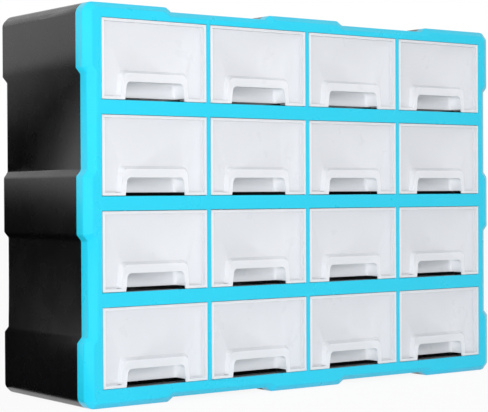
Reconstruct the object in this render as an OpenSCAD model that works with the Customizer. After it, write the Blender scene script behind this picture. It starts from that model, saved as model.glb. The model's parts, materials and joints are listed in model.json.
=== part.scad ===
// Parts bin cabinet: a stepped housing, a bevelled front frame and sixteen pull-out drawers.
// Millimetres. X runs across, Y from front (-) to back (+), Z up.
// The origin is the middle of the footprint, on the surface that the cabinet stands on.

/* [Cabinet] */
// Overall width
cab_w = 520; // [430:1:640]
// Overall depth
cab_d = 160; // [130:1:200]
// Overall height
cab_h = 375; // [310:1:460]
// Thickness of the housing's side walls, floor and roof
wall_t = 2.6; // [2:0.1:3.4]
// Thickness of the back wall
back_t = 2.6; // [2:0.1:4]

/* [Stepped outline] */
// How far the side recesses lie behind the side pads
side_step = 4.8; // [2:0.1:6]
// How far the top and bottom recesses lie behind their pads
top_step = 4.2; // [2:0.1:5.5]
// Height of the slope between a side pad and a side recess
side_ramp = 5.6; // [3:0.1:10]
// Width of the slope between a top pad and a top recess
top_ramp = 6.4; // [3:0.1:10]
// Size of the 45 degree cut at each corner
corner_cut = 7.3; // [3:0.1:9]
// Height of the side pads at the corners
side_end_pad = 60.6; // [40:0.1:75]
// Height of the side pads halfway up
side_mid_pad = 54; // [30:0.1:70]
// Width of the top and bottom pads at the corners
top_end_pad = 91.5; // [60:0.1:100]
// Width of the top and bottom pads in the middle
top_mid_pad = 87.4; // [40:0.1:100]

/* [Front frame] */
// Depth of the frame, from its face to the seam with the housing
frame_d = 16.5; // [14:0.1:24]
// Thickness of the frame's face
frame_skin = 2.6; // [2:0.1:4]
// Thickness of the frame's outer rim
frame_wall = 2.4; // [2:0.1:3]
// Depth of the bevel round the face
bevel_d = 5; // [2:0.1:7]
// Width of the bevel at the sides
bevel_side = 7.8; // [3:0.1:9]
// Width of the bevel at the top and bottom
bevel_top = 5.2; // [3:0.1:6]
// From the cabinet's side to the nearest opening
margin_side = 17.65; // [16.5:0.05:26]
// From the cabinet's top to the nearest opening
margin_top = 14.1; // [13:0.1:22]
// From the cabinet's bottom to the nearest opening
margin_bottom = 17.8; // [15:0.1:26]
// Width of the upright bars between openings
bar_x = 4.1; // [3.4:0.1:8]
// Height of the level bars between openings
bar_z = 13.5; // [12:0.1:20]

/* [Snap joint] */
// Gap at the seam between frame and housing
seam_gap = 0.3; // [0.1:0.05:0.6]
// Fit clearance between parts that plug together
fit = 0.15; // [0.1:0.01:0.3]
// How far the housing's spigot reaches into the frame
spigot_l = 6; // [4:0.1:8]
// Thickness of the spigot
spigot_t = 1.6; // [1.2:0.1:2.2]
// How far the spigot's root reaches back along the housing's wall
spigot_root_l = 5.5; // [3:0.1:9]
// Distance from the seam to the middle of the snap bead
bead_back = 3.2; // [2:0.1:4]
// Height of the snap bead round the spigot
bead_h = 0.65; // [0.4:0.05:0.9]
// Width of the snap bead
bead_w = 1.4; // [1:0.1:2]

/* [Inner grid] */
// Thickness of the collar above and below each opening
collar_t = 1.8; // [1.4:0.1:2.4]
// Thickness of the collar grid's front plate
collar_plate_t = 1.8; // [1.4:0.1:2.4]
// Thickness of shelves and partitions
plate_t = 2.4; // [1.8:0.1:3]
// Gap between a collar and the shelf under it
shelf_gap = 0.3; // [0.2:0.05:1]
// How far a shelf's front edge reaches into the frame
shelf_tongue = 8; // [4:0.1:9]
// Height of the runner ribs above the openings' lower edge
runner_top = 3; // [1:0.1:4]
// Width of a runner rib
runner_w = 2; // [1.5:0.1:3]
// Distance between the two runner ribs of a drawer
runner_span = 76; // [74:1:80]
// How far the guides of the grid stand over their grooves' floor
guide_h = 5; // [3:0.1:7]
// Thickness of a guide beside its groove
guide_t = 2.4; // [1.8:0.1:3]
// Depth of the upright ribs on the back wall, which stop the drawers
back_rib_d = 7.2; // [4:0.1:9]

/* [Wall holes] */
// Distance from the cabinet's top to the keyholes' round holes
keyhole_drop = 42; // [36:1:60]
// Radius of the round hole that the screw's head goes through
keyhole_r = 4.5; // [3.5:0.1:6]
// Radius of the slot that holds the screw's neck
neck_r = 2.5; // [1.8:0.1:3]
// Length of the slot above the round hole
neck_l = 9; // [6:0.1:12]

/* [Drawer] */
// Gap between a drawer's front and its opening
front_gap = 0.5; // [0.3:0.05:1]
// How far the drawer's front lies behind the frame's face
front_set = 0.2; // [0.1:0.05:1]
// Width of the raised rim round the drawer's front
rim_w = 2.6; // [1.6:0.1:4]
// How far the front panel lies behind the rim
panel_drop = 5.1; // [3:0.1:6]
// Thickness of the front panel and of the pocket's walls
panel_t = 1.6; // [1.2:0.1:2.4]
// Thickness of the bin's walls and floor
bin_t = 1.5; // [1.2:0.1:2.2]
// Gap between the bin's side and the opening's side
bin_gap = 2.6; // [2:0.1:4]
// Gap between the bin's floor and the runner ribs
runner_gap = 0.3; // [0.2:0.05:0.5]
// How far the bin's walls stay below the opening's top
bin_drop = 6.7; // [4:0.1:12]
// Radius of the bin's back corners
bin_r = 4; // [2:0.1:8]
// Gap between the closed drawer and the back ribs
rear_gap = 0.4; // [0.3:0.05:1]
// Height of the stop ears over the opening's top
stop_rise = 1.5; // [1:0.1:1.7]
// Length of the stop ears
stop_l = 8; // [5:0.1:12]

/* [Finger pull] */
// Half the width of the finger opening at its foot
pull_half = 33.6; // [26:0.1:38]
// How far each side of the finger opening leans in
pull_lean = 1.6; // [0:0.1:3]
// Height of the finger opening's top over the opening's lower edge
pull_h = 17.3; // [14:0.1:22]
// Radius of the finger opening's upper corners
pull_r = 4.5; // [3:0.1:8]
// How much larger the radius is round the band, for each mm of the band's width
pull_r_growth = 0.2; // [0:0.05:1]
// Width of the flat band at the sides of the finger opening
band_side = 4.2; // [3:0.1:6]
// Width of the flat band over the finger opening
band_top = 8; // [4:0.1:10]
// Width of the sloped flank round the band
flank_w = 2.6; // [1.5:0.1:4]
// Depth of the finger pocket behind the frame's face
pocket_d = 17; // [12:0.1:20]
// Radius of the pocket's back corners, seen from above
pocket_r = 4; // [3:0.1:12]

/* [Divider ribs] */
// Depth of the first rib pair behind the frame's face
rib_first = 34.3; // [28:0.1:40]
// Distance from one rib pair to the next
rib_pitch = 37.7; // [30:0.1:40]
// Gap between the two ribs of a pair
rib_slot = 1.8; // [1.4:0.1:2.4]
// Thickness and height of a rib
rib_t = 1.2; // [0.8:0.1:1.6]

/* [Hidden] */
cols = 4;
rows = 4;
eps = 0.01;

housing_color = [0.08, 0.08, 0.09];
grid_color = [0.12, 0.12, 0.13];
frame_color = [0.22, 0.85, 0.98];
drawer_color = [0.90, 0.92, 0.94, 0.6];

face_y = -cab_d / 2;
back_y = cab_d / 2;
seam_y = face_y + frame_d;
shell_y = seam_y + seam_gap;
back_in_y = back_y - back_t;

open_w = (cab_w - 2 * margin_side - (cols - 1) * bar_x) / cols;
open_h = (cab_h - margin_top - margin_bottom - (rows - 1) * bar_z) / rows;
pitch_x = open_w + bar_x;
pitch_z = open_h + bar_z;

// Inner faces of the housing at the recesses, which the grid fits between
inner_half = cab_w / 2 - side_step - wall_t;
inner_bottom = top_step + wall_t;
inner_top = cab_h - inner_bottom;

// The spigot lies inside the frame's rim
spigot_out = frame_wall + fit;
spigot_in = spigot_out + spigot_t;
spigot_root = wall_t / 2;
bead_y = seam_y - bead_back;

// The grid's plates stay behind the spigot, apart from the shelves' tongues, which lie under the collars
grid_y = shell_y + spigot_root_l + 2 * fit;
rib_y = back_in_y - back_rib_d;
shelf_back_y = rib_y - 2 * fit;
partition_back_y = back_in_y - fit;
halving_y = (grid_y + shelf_back_y) / 2;
plate_half = inner_half - fit;
tongue_half = inner_half - guide_h - fit;
slot_t = plate_t + 2 * fit;
shelf_drop = collar_t + shelf_gap;

// Drawer sizes, measured from the frame's face, the opening's middle and its lower edge
front_half = open_w / 2 - front_gap;
bin_half = open_w / 2 - bin_gap;
floor_z = runner_top + runner_gap;
bin_top = open_h - bin_drop;
bin_len = rib_y - rear_gap - face_y;
panel_y = front_set + panel_drop;
plate_d = panel_y + panel_t;
stop_y = bin_len - stop_l;
stop_top = open_h + stop_rise;
rib_depths = [for (y = rib_first; y < bin_len - rib_pitch / 2; y = y + rib_pitch) y];

// ---- Places ----

// Middle of a column, counted from the left
function col_x(c) = (c - (cols + 1) / 2) * pitch_x;

// Lower edge of a row's openings, counted from the top
function row_z(r) = margin_bottom + (rows - r) * pitch_z;

// ---- The stepped outline, seen from the front, as points in X and Z ----

// One edge of the outline, from pad to recess and back, along a length of total
function edge_steps(total, end_pad, mid_pad, ramp, step, cut) = [
    [cut, 0],
    [end_pad, 0],
    [end_pad + ramp, step],
    [(total - mid_pad) / 2 - ramp, step],
    [(total - mid_pad) / 2, 0],
    [(total + mid_pad) / 2, 0],
    [(total + mid_pad) / 2 + ramp, step],
    [total - end_pad - ramp, step],
    [total - end_pad, 0],
    [total - cut, 0]
];
level_edge = edge_steps(cab_w, top_end_pad, top_mid_pad, top_ramp, top_step, corner_cut);
upright_edge = edge_steps(cab_h, side_end_pad, side_mid_pad, side_ramp, side_step, corner_cut);

outline = concat(
    [for (p = level_edge) [p.x - cab_w / 2, p.y]],
    [for (p = upright_edge) [cab_w / 2 - p.y, p.x]],
    [for (p = level_edge) [cab_w / 2 - p.x, cab_h - p.y]],
    [for (p = upright_edge) [p.y - cab_w / 2, cab_h - p.x]]
);

// The outline drawn in by dx at upright edges and dz at level ones, with mitred corners
function edge_normal(p, q) = let (d = q - p) [d.y, -d.x] / norm(d);
function edge_line(p, q, dx, dz) = let (n = edge_normal(p, q)) [n, n * p - norm([dx * n.x, dz * n.y])];
function crossing(a, b) =
    let (m = a[0], n = b[0], det = m.x * n.y - m.y * n.x)
    [a[1] * n.y - b[1] * m.y, b[1] * m.x - a[1] * n.x] / det;
function drawn_in(pts, dx, dz) =
    let (k = len(pts))
    [for (i = [0:k - 1])
        crossing(
            edge_line(pts[(i + k - 1) % k], pts[i], dx, dz),
            edge_line(pts[i], pts[(i + 1) % k], dx, dz)
        )];

module profile(inset = 0) {
    polygon(inset == 0 ? outline : drawn_in(outline, inset, inset));
}

// ---- Building blocks ----

// Pushes a front view along Y, from y0 to y1
module along_y(y0, y1) {
    translate([0, y1, 0]) rotate([90, 0, 0]) linear_extrude(y1 - y0) children();
}

module block(x0, x1, y0, y1, z0, z1) {
    translate([x0, y0, z0]) cube([x1 - x0, y1 - y0, z1 - z0]);
}

module profile_ring(outer, inner, y0, y1) {
    along_y(y0, y1) difference() {
        profile(outer);
        profile(inner);
    }
}

module mirrored_x() {
    children();
    mirror([1, 0, 0]) children();
}

// ---- Housing ----

module shell() {
    difference() {
        along_y(shell_y, back_y) profile();
        along_y(shell_y - eps, back_in_y) profile(wall_t);
    }
}

module spigot() {
    profile_ring(spigot_root, spigot_in, shell_y, shell_y + spigot_root_l);
    profile_ring(spigot_out, spigot_in, seam_y - spigot_l, shell_y);
    profile_ring(spigot_out - bead_h, spigot_in, bead_y - bead_w / 2, bead_y + bead_w / 2);
}

// A channel on each side wall that a shelf slides into
module shelf_guide(r) {
    shelf_top = row_z(r) - shelf_drop;
    mirrored_x() difference() {
        block(
            inner_half - guide_h, cab_w / 2, grid_y, shelf_back_y,
            shelf_top - plate_t - guide_t, shelf_top + guide_t
        );
        block(
            inner_half - guide_h - eps, inner_half, grid_y - eps, shelf_back_y + eps,
            shelf_top - plate_t - fit, shelf_top + fit
        );
    }
}

// A channel on the floor and on the roof that a partition slides into
module partition_guide(x) {
    difference() {
        block(x - slot_t / 2 - guide_t, x + slot_t / 2 + guide_t, grid_y, back_in_y, 0, inner_bottom + guide_h);
        block(
            x - slot_t / 2, x + slot_t / 2, grid_y - eps, back_in_y + eps,
            inner_bottom, inner_bottom + guide_h + eps
        );
    }
}

module partition_guides() {
    for (c = [1:cols - 1]) {
        x = (col_x(c) + col_x(c + 1)) / 2;
        partition_guide(x);
        translate([0, 0, cab_h]) mirror([0, 0, 1]) partition_guide(x);
    }
}

module floor_runners() {
    for (c = [1:cols], side = [-1, 1]) {
        x = col_x(c) + side * runner_span / 2;
        block(x - runner_w / 2, x + runner_w / 2, grid_y, rib_y + eps, 0, row_z(rows) + runner_top);
    }
}

module back_ribs() {
    for (c = [1:cols], side = [-1, 1]) {
        x = col_x(c) + side * runner_span / 2;
        block(x - runner_w / 2, x + runner_w / 2, rib_y, back_y - back_t / 2, 0, cab_h);
    }
}

module keyhole() {
    along_y(back_in_y - eps, back_y + eps) {
        circle(r = keyhole_r, $fn = 48);
        translate([-neck_r, 0]) square([2 * neck_r, neck_l]);
        translate([0, neck_l]) circle(r = neck_r, $fn = 32);
    }
}

module keyholes() {
    for (c = [1, cols]) translate([col_x(c), 0, cab_h - keyhole_drop]) keyhole();
}

module housing() {
    color(housing_color) difference() {
        union() {
            shell();
            spigot();
            intersection() {
                along_y(grid_y, back_y - back_t / 2) profile(wall_t / 2);
                union() {
                    for (r = [1:rows - 1]) shelf_guide(r);
                    partition_guides();
                    floor_runners();
                    back_ribs();
                }
            }
        }
        keyholes();
    }
}

// ---- Front frame ----

// The bevelled front: a ring whose outer side slopes from the face to the full outline, round a flat core
module bevel() {
    face = drawn_in(outline, bevel_side, bevel_top);
    inner = drawn_in(outline, bevel_side + frame_wall, bevel_top + frame_wall);
    core = drawn_in(outline, bevel_side + frame_wall / 2, bevel_top + frame_wall / 2);
    loops = [
        [for (p = outline) [p.x, face_y + bevel_d, p.y]],
        [for (p = face) [p.x, face_y, p.y]],
        [for (p = inner) [p.x, face_y, p.y]],
        [for (p = inner) [p.x, face_y + bevel_d, p.y]]
    ];
    k = len(outline);
    polyhedron(
        points = [for (loop = loops) each loop],
        faces = [for (j = [0:3], i = [0:k - 1])
            let (a = j * k, b = (j + 1) % 4 * k, n = (i + 1) % k)
            [a + i, b + i, b + n, a + n]]
    );
    along_y(face_y, face_y + bevel_d) polygon(core);
}

// Every opening, made larger by grow_x and grow_z on each side
module openings(y0, y1, grow_x = 0, grow_z = 0) {
    for (r = [1:rows], c = [1:cols])
        block(
            col_x(c) - open_w / 2 - grow_x, col_x(c) + open_w / 2 + grow_x, y0, y1,
            row_z(r) - grow_z, row_z(r) + open_h + grow_z
        );
}

// A block as wide and high as the collar grid, made larger by grow on each side
module collar_block(y0, y1, grow = 0) {
    half = cab_w / 2 - margin_side + bar_x / 2 + grow;
    block(-half, half, y0, y1, margin_bottom - collar_t - grow, cab_h - margin_top + collar_t + grow);
}

// The hollow behind the face, which the collar grid lies in
module frame_hollow() {
    along_y(face_y + bevel_d + eps, seam_y + eps) profile(frame_wall);
    collar_block(face_y + frame_skin, seam_y + eps, 2 * fit);
}

module bead_groove() {
    profile_ring(
        spigot_out - bead_h - fit, spigot_out,
        bead_y - bead_w / 2 - fit, bead_y + bead_w / 2 + fit
    );
}

module front_frame() {
    color(frame_color) difference() {
        union() {
            bevel();
            along_y(face_y + bevel_d, seam_y) profile();
        }
        frame_hollow();
        bead_groove();
        openings(face_y - eps, seam_y + eps);
    }
}

// ---- Collar grid: a plate behind the frame's face, with a collar round each opening ----

module collar_grid() {
    front_y = face_y + frame_skin + fit;
    color(grid_color) difference() {
        union() {
            collar_block(front_y, front_y + collar_plate_t);
            openings(front_y, seam_y, bar_x / 2 + eps, collar_t);
        }
        openings(front_y - eps, seam_y + eps);
    }
}

// ---- Shelves and partitions, halved into each other ----

module shelf(r) {
    top = row_z(r) - shelf_drop;
    color(grid_color) {
        difference() {
            union() {
                block(-plate_half, plate_half, grid_y, shelf_back_y, top - plate_t, top);
                block(-tongue_half, tongue_half, seam_y - shelf_tongue, grid_y, top - plate_t, top);
                for (c = [1:cols], side = [-1, 1]) {
                    x = col_x(c) + side * runner_span / 2;
                    block(
                        x - runner_w / 2, x + runner_w / 2, shell_y, shelf_back_y,
                        top - plate_t / 2, row_z(r) + runner_top
                    );
                }
            }
            for (c = [1:cols - 1]) {
                x = (col_x(c) + col_x(c + 1)) / 2;
                block(
                    x - slot_t / 2, x + slot_t / 2, halving_y - fit, shelf_back_y + eps,
                    top - plate_t - eps, top + eps
                );
            }
        }
    }
}

module partition(c) {
    x = (col_x(c) + col_x(c + 1)) / 2;
    nose_bottom = top_step + spigot_in + 2 * fit;
    color(grid_color) difference() {
        union() {
            block(
                x - plate_t / 2, x + plate_t / 2, grid_y, partition_back_y,
                inner_bottom + fit, inner_top - fit
            );
            block(
                x - plate_t / 2, x + plate_t / 2, shell_y, grid_y,
                nose_bottom, cab_h - nose_bottom
            );
        }
        for (r = [1:rows - 1]) {
            top = row_z(r) - shelf_drop;
            block(
                x - plate_t / 2 - eps, x + plate_t / 2 + eps, shell_y - eps, halving_y + fit,
                top - plate_t - fit, top + fit
            );
        }
    }
}

// ---- Drawer, drawn from the opening's middle and lower edge, with Y from the frame's face ----

// Arch in front view: sides that lean in by lean, upper corners of radius r
module arch(half, lean, h, r) {
    shoulder = half - lean;
    polygon([
        [-half, 0], [half, 0], [shoulder, h - r], [shoulder - r, h],
        [r - shoulder, h], [-shoulder, h - r]
    ]);
    for (side = [-1, 1]) translate([side * (shoulder - r), h - r]) circle(r = r, $fn = 32);
}

// The arch of the finger opening, made larger by side_grow and top_grow
module pull_arch(side_grow, top_grow) {
    arch(pull_half + side_grow, pull_lean, pull_h + top_grow, pull_r + pull_r_growth * side_grow);
}

// Plan of the pocket: square at the front, rounded at the back
module pocket_plan(grow) {
    half = pull_half + grow;
    depth = pocket_d + grow;
    r = pocket_r + grow;
    translate([-half, -eps]) square([2 * half, depth - r + eps]);
    translate([r - half, 0]) square([2 * (half - r), depth]);
    for (side = [-1, 1]) translate([side * (half - r), depth - r]) circle(r = r, $fn = 48);
}

// The pocket's space for grow = 0, and its walls' outer shape for grow = panel_t
module pocket(grow, front, bottom) {
    intersection() {
        along_y(front, pocket_d + grow) pull_arch(grow, grow);
        translate([0, 0, bottom]) linear_extrude(pull_h + grow - bottom) pocket_plan(grow);
    }
}

// The raised band round the finger opening, with sloped flanks down to the panel
module pull_band() {
    intersection() {
        hull() {
            along_y(front_set, front_set + eps) pull_arch(band_side, band_top);
            along_y(panel_y, panel_y + eps) pull_arch(band_side + flank_w, band_top + flank_w);
        }
        block(-front_half, front_half, 0, plate_d, front_gap, open_h);
    }
}

// Space behind the band's feet, below the bin's floor, which leaves the feet thin
module foot_relief() {
    half = pull_half + band_side + flank_w;
    block(-half, half, front_set + panel_t, plate_d + eps, -eps, floor_z - eps);
}

module front_plate() {
    difference() {
        block(-front_half, front_half, front_set, plate_d, front_gap, open_h - front_gap);
        block(
            rim_w - front_half, front_half - rim_w, front_set - eps, panel_y,
            front_gap + rim_w, open_h - front_gap - rim_w
        );
    }
}

// Plan of the bin, with rounded back corners
module bin_plan(inset) {
    half = bin_half - inset;
    r = bin_r - inset;
    back = bin_len - inset;
    translate([-half, panel_y]) square([2 * half, back - r - panel_y]);
    translate([r - half, panel_y]) square([2 * (half - r), back - panel_y]);
    for (side = [-1, 1]) translate([side * (half - r), back - r]) circle(r = r, $fn = 32);
}

// Upright ridges on the side walls, in pairs that hold a divider
module divider_ribs() {
    for (y = rib_depths, side = [-1, 1])
        mirrored_x()
            block(
                bin_half - bin_t - rib_t, bin_half - bin_t / 2,
                y + side * (rib_slot + rib_t) / 2 - rib_t / 2, y + side * (rib_slot + rib_t) / 2 + rib_t / 2,
                floor_z + bin_t / 2, bin_top
            );
}

// Ears at the back of the side walls, which meet the collar grid when the drawer is out
module stop_ears() {
    mirrored_x()
        block(bin_half - bin_t, bin_half, stop_y, bin_len - bin_r, bin_top - eps, stop_top);
}

module bin() {
    difference() {
        translate([0, 0, floor_z]) linear_extrude(bin_top - floor_z) bin_plan(0);
        translate([0, 0, floor_z + bin_t]) linear_extrude(bin_top) bin_plan(bin_t);
    }
    divider_ribs();
    stop_ears();
}

module drawer(r, c) {
    color(drawer_color) translate([col_x(c), face_y, row_z(r)]) difference() {
        union() {
            front_plate();
            pull_band();
            bin();
            pocket(panel_t, panel_y, floor_z);
        }
        pocket(0, -eps, 0);
        foot_relief();
    }
}

housing();
front_frame();
collar_grid();
shelf(3);  // lower_shelf
shelf(2);  // middle_shelf
shelf(1);  // upper_shelf
partition(1);  // left_partition
partition(2);  // centre_partition
partition(3);  // right_partition
for (r = [1:rows], c = [1:cols])
    drawer(r, c);
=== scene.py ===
import json
import math

import bmesh
import bpy
from mathutils import Matrix, Vector


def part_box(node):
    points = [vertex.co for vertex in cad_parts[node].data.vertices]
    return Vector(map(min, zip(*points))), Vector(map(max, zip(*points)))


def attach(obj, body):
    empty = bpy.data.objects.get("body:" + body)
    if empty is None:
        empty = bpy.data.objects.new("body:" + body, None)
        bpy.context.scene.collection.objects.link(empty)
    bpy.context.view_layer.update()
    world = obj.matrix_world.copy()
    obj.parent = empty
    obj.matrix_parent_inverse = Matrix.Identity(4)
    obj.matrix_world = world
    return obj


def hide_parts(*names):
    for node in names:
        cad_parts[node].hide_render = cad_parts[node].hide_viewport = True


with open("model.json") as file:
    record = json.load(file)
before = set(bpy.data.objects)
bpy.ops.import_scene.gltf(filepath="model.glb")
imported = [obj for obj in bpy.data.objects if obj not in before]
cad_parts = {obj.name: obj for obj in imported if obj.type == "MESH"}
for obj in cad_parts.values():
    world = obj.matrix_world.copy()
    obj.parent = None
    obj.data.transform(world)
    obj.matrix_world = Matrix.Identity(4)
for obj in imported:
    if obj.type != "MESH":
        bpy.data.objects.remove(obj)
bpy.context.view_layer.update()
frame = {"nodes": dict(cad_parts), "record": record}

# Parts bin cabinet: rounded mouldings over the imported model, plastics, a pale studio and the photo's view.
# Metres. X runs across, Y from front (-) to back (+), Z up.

MM = 0.001

# ---- Camera, worked out from the photograph's perspective ----
IMAGE_W = 488
FOCAL_PX = 1527.95
SENSOR_W = 36.0
CAMERA_AT = Vector((-0.97135, -1.28530, 0.20046))
CAMERA_TURN = math.radians(-36.467)
CAMERA_DIP = math.radians(0.569)
CAMERA_ROLL = math.radians(-0.258)
CLIP_START = 0.05
CLIP_END = 50

# ---- Studio ----
KEY_AT = (-1.75, -1.95, 0.85)
KEY_AIM = (0, 0, 0.2)
KEY_SIZE = (1.3, 1.3)
KEY_WATTS = 42.5
WHITE = (1, 1, 1, 1)
WORLD_COLOUR = (0.97, 0.98, 1, 1)
WORLD_LEVEL = 0.45
# The floor: how far it reaches, its colour, and how much of it is plain white where it is seen
FLOOR_REACH = 6.0
FLOOR_COLOUR = (0.9, 0.9, 0.9, 1)
FLOOR_GLOW = 0.92
# The cards that paint the housing's dark reflection: the standing card's two ends in X and Y, its height,
# the height it is black up to and the grey of the painted reflection at its top. Then how far forward the
# lying card reaches, and its gap to the housing and the floor
CARD_LEFT = (-1.3, -0.5)
CARD_RIGHT = (0.2, 1.1)
CARD_TOP = 0.23
CARD_DARK = 0.17
CARD_GREY = 0.5
CARD_FRONT = 0.4
CARD_GAP = 1 * MM

# ---- Opaque plastics: the darkest and lightest colour, and the least and greatest roughness ----
HOUSING_COLOURS = (0.0042, 0.0040, 0.0044), (0.0058, 0.0056, 0.0062)
HOUSING_ROUGHNESS = 0.24, 0.30
GRID_COLOURS = (0.006, 0.006, 0.0065), (0.009, 0.009, 0.0095)
GRID_ROUGHNESS = 0.28, 0.36
FRAME_COLOURS = (0.010, 0.68, 0.925), (0.014, 0.70, 0.945)
FRAME_ROUGHNESS = 0.26, 0.34
# The surface grain's features in a metre, and its depth
BLACK_GRAIN = 1400, 0.01 * MM
FRAME_GRAIN = 700, 0.004 * MM
# Features in a metre of the clouds of colour and of the patches of gloss
CLOUDS = 9
PATCHES = 40

# ---- Drawers ----
CLEAR_ALPHA = 0.62
# The milkier plastic is more opaque and lighter. This is partly the thicker plastic's own look and partly
# painted light on the rim and in the shaded finger pocket
MILKY_LIT_ALPHA = 0.80
CLEAR_COLOURS = (0.937, 0.950, 0.985), (0.951, 0.962, 0.992)
MILKY_LIT_COLOURS = (0.950, 0.963, 0.995), (0.960, 0.971, 0.999)
DRAWER_ROUGHNESS = 0.27, 0.31
DRAWER_IOR = 1.46
DRAWER_CLOUDS = 14
DRAWER_PATCHES = 50
# How far behind the frame's face the raised faces and the panel reach. Then the finger pocket's half width,
# how far behind the frame's face its back lies, and how far its top is above the drawer's lowest point
RAISED_DEPTH = 1.5 * MM
PANEL_DEPTH = 8 * MM
POCKET_HALF = 35.6 * MM
POCKET_BACK = 19 * MM
POCKET_TOP = 20 * MM

# ---- Rounding of the mouldings' edges ----
CORNER_ROUND = 3.6 * MM
PROFILE_ROUND = 1.1 * MM
BACK_ROUND = 1.6 * MM
BEVEL_ROUND = 1.0 * MM
FINE_ROUND = 0.45 * MM
# Turns between two faces: an edge over the first may be rounded, over the second it is a crease in the
# shading, and under the third it is dissolved
SHARP_TURN = math.radians(20)
CREASE_TURN = math.radians(30)
FLAT_TURN = math.radians(1)
# Points nearer than this are joined
WELD = 0.001 * MM
# How near a point counts as at a level, how deep the outline's steps and the frame's bevel reach in, how far
# behind the face a drawer's front reaches, and how far from the seam the frame's rounding stops
NEAR = 0.02 * MM
STEP_REACH = 9 * MM
BEVEL_REACH = 14 * MM
FRONT_REACH = 6 * MM
SEAM_REACH = 1 * MM
# The least length of an edge that runs through the housing's depth
DEEP_EDGE = 100 * MM
# The cosines over which two directions count as one, and over which a face looks to the front or the back
ALIGNED = 0.999
FACING = 0.9
# The rounding error that a zero may have
ZERO_ERROR = 1e-9

# ---- Places read from the frame ----
housing_low, housing_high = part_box("housing")
frame_low, frame_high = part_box("front_frame")
FACE_Y = frame_low.y
BACK_Y = housing_high.y
SEAM_Y = frame_high.y
DRAWERS = sorted(n for n in frame["nodes"] if n.startswith("drawer_"))
BODY_OF = {n: b for b, names in frame["record"]["behaviour"]["bodies"].items() for n in names}


# ---- Node helpers ----

def new_material(name):
    """An empty node material, its tree and its output node."""
    mat = bpy.data.materials.new(name)
    mat.use_nodes = True
    tree = mat.node_tree
    tree.nodes.clear()
    out = tree.nodes.new("ShaderNodeOutputMaterial")
    return mat, tree, out


def add(tree, kind, **values):
    """A node of that kind. A value's name is a socket or, where there is none, a property."""
    node = tree.nodes.new("ShaderNode" + kind)
    for name, value in values.items():
        socket = next((s for s in node.inputs if s.name.replace(" ", "_") == name), None)
        if socket is not None:
            socket.default_value = value
        else:
            setattr(node, name, value)
    return node


def join(tree, source, target):
    tree.links.new(source, target)


def noise(tree, scale, detail):
    """Noise over object space, with that many features in a metre."""
    place = add(tree, "TexCoord")
    texture = add(tree, "TexNoise", Scale=scale, Detail=detail)
    join(tree, place.outputs["Object"], texture.inputs["Vector"])
    return texture.outputs["Fac"]


def spread(tree, source, low, high, start=0.3, end=0.7):
    """Maps start to end, by default where most of a noise lies, to low to high, and goes no further."""
    ramp = add(tree, "MapRange")
    for name, value in (("From Min", start), ("From Max", end), ("To Min", low), ("To Max", high)):
        ramp.inputs[name].default_value = value
    join(tree, source, ramp.inputs["Value"])
    return ramp.outputs["Result"]


def blend_colours(tree, factor, first, second):
    mix = add(tree, "Mix", data_type="RGBA")
    for socket, colour in ((mix.inputs[6], first), (mix.inputs[7], second)):
        socket.default_value = (*colour, 1)
    join(tree, factor, mix.inputs["Factor"])
    return mix.outputs[2]


def bump(tree, height, distance):
    node = add(tree, "Bump", Strength=1.0, Distance=distance)
    join(tree, height, node.inputs["Height"])
    return node.outputs["Normal"]


def mix_shaders(tree, factor, first, second, out):
    """Sends the output the first shader where the factor is 0 and the second where it is 1."""
    mix = add(tree, "MixShader")
    join(tree, factor, mix.inputs[0])
    join(tree, first.outputs[0], mix.inputs[1])
    join(tree, second.outputs[0], mix.inputs[2])
    join(tree, mix.outputs[0], out.inputs["Surface"])


# ---- Plastics ----

def moulded(name, colours, roughness, grain):
    """Opaque moulded plastic: faintly clouded colour, uneven gloss and a fine surface grain."""
    mat, tree, out = new_material(name)
    shader = add(tree, "BsdfPrincipled")
    clouds = spread(tree, noise(tree, CLOUDS, detail=3), 0, 1)
    grain_scale, grain_depth = grain
    join(tree, blend_colours(tree, clouds, *colours), shader.inputs["Base Color"])
    join(tree, spread(tree, noise(tree, PATCHES, detail=4), *roughness), shader.inputs["Roughness"])
    join(tree, bump(tree, noise(tree, grain_scale, detail=2), grain_depth), shader.inputs["Normal"])
    join(tree, shader.outputs["BSDF"], out.inputs["Surface"])
    return mat


def housing_plastic():
    return moulded("housing_plastic", HOUSING_COLOURS, HOUSING_ROUGHNESS, BLACK_GRAIN)


def grid_plastic():
    return moulded("grid_plastic", GRID_COLOURS, GRID_ROUGHNESS, BLACK_GRAIN)


def frame_plastic():
    return moulded("frame_plastic", FRAME_COLOURS, FRAME_ROUGHNESS, FRAME_GRAIN)


def drawer_plastic(name, alpha, colours):
    """Clear plastic with a milky cast, its surface slightly uneven in gloss."""
    mat, tree, out = new_material(name)
    shader = add(tree, "BsdfPrincipled", IOR=DRAWER_IOR, Alpha=alpha)
    clouds = spread(tree, noise(tree, DRAWER_CLOUDS, detail=3), 0, 1)
    join(tree, blend_colours(tree, clouds, *colours), shader.inputs["Base Color"])
    patches = noise(tree, DRAWER_PATCHES, detail=3)
    join(tree, spread(tree, patches, *DRAWER_ROUGHNESS), shader.inputs["Roughness"])
    join(tree, shader.outputs["BSDF"], out.inputs["Surface"])
    return mat


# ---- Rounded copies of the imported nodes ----

def turn(edge):
    """The angle between an edge's two faces, or 0 for an edge with no two faces."""
    return edge.calc_face_angle(0)


def along_y(edge):
    direction = (edge.verts[1].co - edge.verts[0].co).normalized()
    return abs(direction.y) > ALIGNED


def at_y(edge, y):
    return all(abs(v.co.y - y) < NEAR for v in edge.verts)


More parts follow.
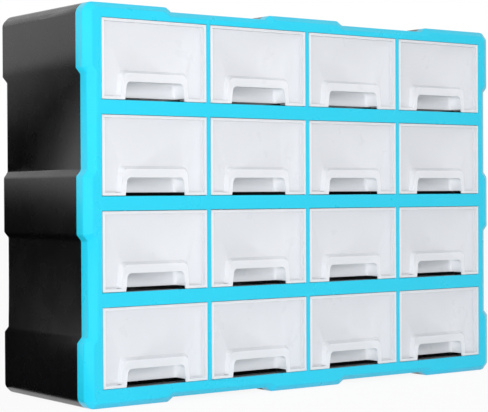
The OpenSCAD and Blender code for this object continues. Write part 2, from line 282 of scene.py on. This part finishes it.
def rounded_copy(node, material, widths, segments=3):
    """A copy of a node's mesh with its flat faces joined and its sharp edges rounded.
    widths(edge) gives an edge's rounding, or 0 to keep it sharp."""
    source = frame["nodes"][node]
    bm = bmesh.new()
    bm.from_mesh(source.data)
    bmesh.ops.remove_doubles(bm, verts=bm.verts, dist=WELD)
    bmesh.ops.dissolve_limit(bm, angle_limit=FLAT_TURN, verts=bm.verts, edges=bm.edges)
    bm.normal_update()
    weights = bm.edges.layers.float.new("bevel_weight_edge")
    sizes = [widths(e) if turn(e) > SHARP_TURN else 0 for e in bm.edges]
    largest = max(sizes)
    for edge, size in zip(bm.edges, sizes):
        edge[weights] = size / largest
    mesh = bpy.data.meshes.new(node + "_rounded")
    bm.to_mesh(mesh)
    bm.free()
    piece = bpy.data.objects.new(node + "_moulding", mesh)
    bpy.context.scene.collection.objects.link(piece)
    mesh.materials.append(material)
    for face in mesh.polygons:
        face.use_smooth = True
    mesh.set_sharp_from_angle(angle=CREASE_TURN)
    rounding = piece.modifiers.new("rounding", "BEVEL")
    rounding.width = largest
    rounding.segments = segments
    rounding.limit_method = "WEIGHT"
    rounding.use_clamp_overlap = True
    rounding.harden_normals = True
    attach(piece, BODY_OF[node])
    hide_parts(node)
    return piece


def to_side(point, low, high):
    """How far a point lies inside the box's nearer side in X, and in Z."""
    return min(point.x - low.x, high.x - point.x), min(point.z - low.z, high.z - point.z)


def on_outside(edge, low, high, reach=STEP_REACH):
    """True for an edge whose ends both lie within the reach of a side of the box."""
    return all(min(to_side(v.co, low, high)) < reach for v in edge.verts)


def is_corner(edge, low, high):
    """True for an edge whose middle lies near two sides of the box."""
    middle = (edge.verts[0].co + edge.verts[1].co) / 2
    return max(to_side(middle, low, high)) < STEP_REACH


def outward(edge, low, high):
    """True if an edge's faces don't look towards the middle of the box, in X or in Z."""
    middle = (edge.verts[0].co + edge.verts[1].co) / 2
    facing = sum((f.normal for f in edge.link_faces), Vector())
    away = middle - (low + high) / 2
    return facing.x * away.x > -ZERO_ERROR and facing.z * away.z > -ZERO_ERROR


def housing_widths(edge):
    if not on_outside(edge, housing_low, housing_high) or not outward(edge, housing_low, housing_high):
        return 0
    if along_y(edge) and edge.calc_length() > DEEP_EDGE:
        return CORNER_ROUND if is_corner(edge, housing_low, housing_high) else PROFILE_ROUND
    if at_y(edge, BACK_Y):
        return BACK_ROUND
    return 0


def frame_widths(edge):
    if at_y(edge, FACE_Y):
        return BEVEL_ROUND if on_outside(edge, frame_low, frame_high, BEVEL_REACH) else FINE_ROUND
    if not on_outside(edge, frame_low, frame_high) or not outward(edge, frame_low, frame_high):
        return 0
    if along_y(edge):
        return CORNER_ROUND if is_corner(edge, frame_low, frame_high) else PROFILE_ROUND
    return PROFILE_ROUND if all(v.co.y < SEAM_Y - SEAM_REACH for v in edge.verts) else 0


def drawer_widths(edge):
    return FINE_ROUND if all(v.co.y < FACE_Y + FRONT_REACH for v in edge.verts) else 0


def add_milky_lit_faces(piece, drawer, milky_lit):
    """Gives the raised rim, the band and the finger pocket the milkier plastic. This is partly the thicker
    plastic's own opacity and partly painted light: the lighter, more opaque copy brightens the rim and the
    shaded finger pocket.
    """
    low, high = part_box(drawer)
    middle = (low.x + high.x) / 2
    piece.data.materials.append(milky_lit)
    for face in piece.data.polygons:
        depth = face.center.y - FACE_Y
        beside = abs(face.center.x - middle) > POCKET_HALF
        over = face.center.z > low.z + POCKET_TOP
        panel = RAISED_DEPTH < depth < PANEL_DEPTH and abs(face.normal.y) > FACING
        in_pocket = depth < POCKET_BACK and not (beside or over or panel)
        face.material_index = int(depth < RAISED_DEPTH or in_pocket)


# ---- Studio ----

def camera():
    data = bpy.data.cameras.new("view")
    data.sensor_width = SENSOR_W
    data.lens = FOCAL_PX * SENSOR_W / IMAGE_W
    data.clip_start = CLIP_START
    data.clip_end = CLIP_END
    right = Vector((math.cos(CAMERA_TURN), math.sin(CAMERA_TURN), 0))
    level = Vector((-math.sin(CAMERA_TURN), math.cos(CAMERA_TURN), 0))
    forward = math.cos(CAMERA_DIP) * level - math.sin(CAMERA_DIP) * Vector((0, 0, 1))
    up = right.cross(forward)
    rolled_right = math.cos(CAMERA_ROLL) * right + math.sin(CAMERA_ROLL) * up
    rolled_up = math.cos(CAMERA_ROLL) * up - math.sin(CAMERA_ROLL) * right
    obj = bpy.data.objects.new("view", data)
    rotation = Matrix((rolled_right, rolled_up, -forward)).transposed()
    obj.matrix_world = Matrix.Translation(CAMERA_AT) @ rotation.to_4x4()
    bpy.context.scene.collection.objects.link(obj)
    bpy.context.scene.camera = obj


def key_lamp():
    """A soft lamp from the front left that leaves no highlight."""
    data = bpy.data.lights.new("key", "AREA")
    data.shape = "RECTANGLE"
    data.size, data.size_y = KEY_SIZE
    data.energy = KEY_WATTS
    obj = bpy.data.objects.new("key", data)
    obj.location = KEY_AT
    obj.rotation_euler = (Vector(KEY_AIM) - Vector(KEY_AT)).to_track_quat("-Z", "Y").to_euler()
    obj.visible_glossy = False
    bpy.context.scene.collection.objects.link(obj)


def seen_rays(tree):
    """1 for rays from the camera, in gloss or through glass, and 0 for all others."""
    path = add(tree, "LightPath")
    seen = path.outputs["Is Camera Ray"]
    for kind in ("Is Glossy Ray", "Is Transmission Ray"):
        either = add(tree, "Math", operation="MAXIMUM")
        join(tree, seen, either.inputs[0])
        join(tree, path.outputs[kind], either.inputs[1])
        seen = either.outputs[0]
    return seen


def sheet(name, corners):
    """A flat stage piece through the corners."""
    mesh = bpy.data.meshes.new(name)
    mesh.from_pydata(corners, [], [tuple(range(len(corners)))])
    obj = bpy.data.objects.new(name, mesh)
    bpy.context.scene.collection.objects.link(obj)
    return obj


def world_light():
    """White behind everything seen, and an even cool light on everything lit."""
    world = bpy.data.worlds.new("studio")
    world.use_nodes = True
    bpy.context.scene.world = world
    tree = world.node_tree
    tree.nodes.clear()
    out = tree.nodes.new("ShaderNodeOutputWorld")
    seen = add(tree, "Background", Color=WHITE, Strength=1.0)
    lighting = add(tree, "Background", Color=WORLD_COLOUR, Strength=WORLD_LEVEL)
    mix_shaders(tree, seen_rays(tree), lighting, seen, out)


def floor():
    """A wide pale floor that keeps part of its shading where it is seen."""
    reach = FLOOR_REACH
    obj = sheet("floor", [(-reach, -reach, 0), (reach, -reach, 0), (reach, reach, 0), (-reach, reach, 0)])
    mat, tree, out = new_material("floor")
    diffuse = add(tree, "BsdfDiffuse", Color=FLOOR_COLOUR)
    glow = add(tree, "Emission", Color=WHITE, Strength=1.0)
    share = add(tree, "Math", operation="MULTIPLY")
    share.inputs[1].default_value = FLOOR_GLOW
    join(tree, seen_rays(tree), share.inputs[0])
    mix_shaders(tree, share.outputs[0], diffuse, glow, out)
    obj.data.materials.append(mat)


def painted_reflection_cards():
    """Two cards that only gloss sees and that paint a dark reflection on the black left side, keeping it
    deep, with a painted grey reflection towards the top. One lies on the floor beside it, black, and one
    stands at that card's back, black below and grey at its top."""
    left, near = CARD_LEFT
    right, far = CARD_RIGHT
    side = housing_low.x - CARD_GAP
    outline = (side, -CARD_FRONT), (left, -CARD_FRONT), (left, near), (right, far), (side, BACK_Y)
    lying = sheet("floor_card", [(x, y, CARD_GAP) for x, y in outline])
    foot = [(left, near, 0), (right, far, 0)]
    standing = sheet("back_card", [*foot, (right, far, CARD_TOP), (left, near, CARD_TOP)])
    mat, tree, out = new_material("card")
    place = add(tree, "TexCoord")
    parts = add(tree, "SeparateXYZ")
    # The cards glow as a painted reflection: black up to CARD_DARK, rising to CARD_GREY at the top
    glow = add(tree, "Emission", Color=WHITE)
    join(tree, place.outputs["Object"], parts.inputs[0])
    join(tree, spread(tree, parts.outputs["Z"], 0, CARD_GREY, CARD_DARK, CARD_TOP), glow.inputs["Strength"])
    join(tree, glow.outputs[0], out.inputs["Surface"])
    for card in (lying, standing):
        card.data.materials.append(mat)
        card.visible_camera = False
        card.visible_diffuse = False
        card.visible_transmission = False
        card.visible_shadow = False


def studio():
    world_light()
    key_lamp()
    floor()
    painted_reflection_cards()
    bpy.context.scene.view_settings.view_transform = "Standard"


def dress(node, material):
    """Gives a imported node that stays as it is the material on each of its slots."""
    for slot in frame["nodes"][node].material_slots:
        slot.material = material


camera()
studio()
rounded_copy("housing", housing_plastic(), housing_widths)
rounded_copy("front_frame", frame_plastic(), frame_widths)
clear = drawer_plastic("clear_plastic", CLEAR_ALPHA, CLEAR_COLOURS)
milky_lit = drawer_plastic("milky_plastic", MILKY_LIT_ALPHA, MILKY_LIT_COLOURS)
for drawer in DRAWERS:
    bin_copy = rounded_copy(drawer, clear, drawer_widths, segments=2)
    # Partly painted light: the rim, band and finger pocket get the lighter, more opaque copy of the plastic
    add_milky_lit_faces(bin_copy, drawer, milky_lit)
    # Lamps shine through the clear drawer
    bin_copy.visible_shadow = False
grid = grid_plastic()
for node in frame["nodes"]:
    if node.endswith(("grid", "shelf", "partition")):
        dress(node, grid)
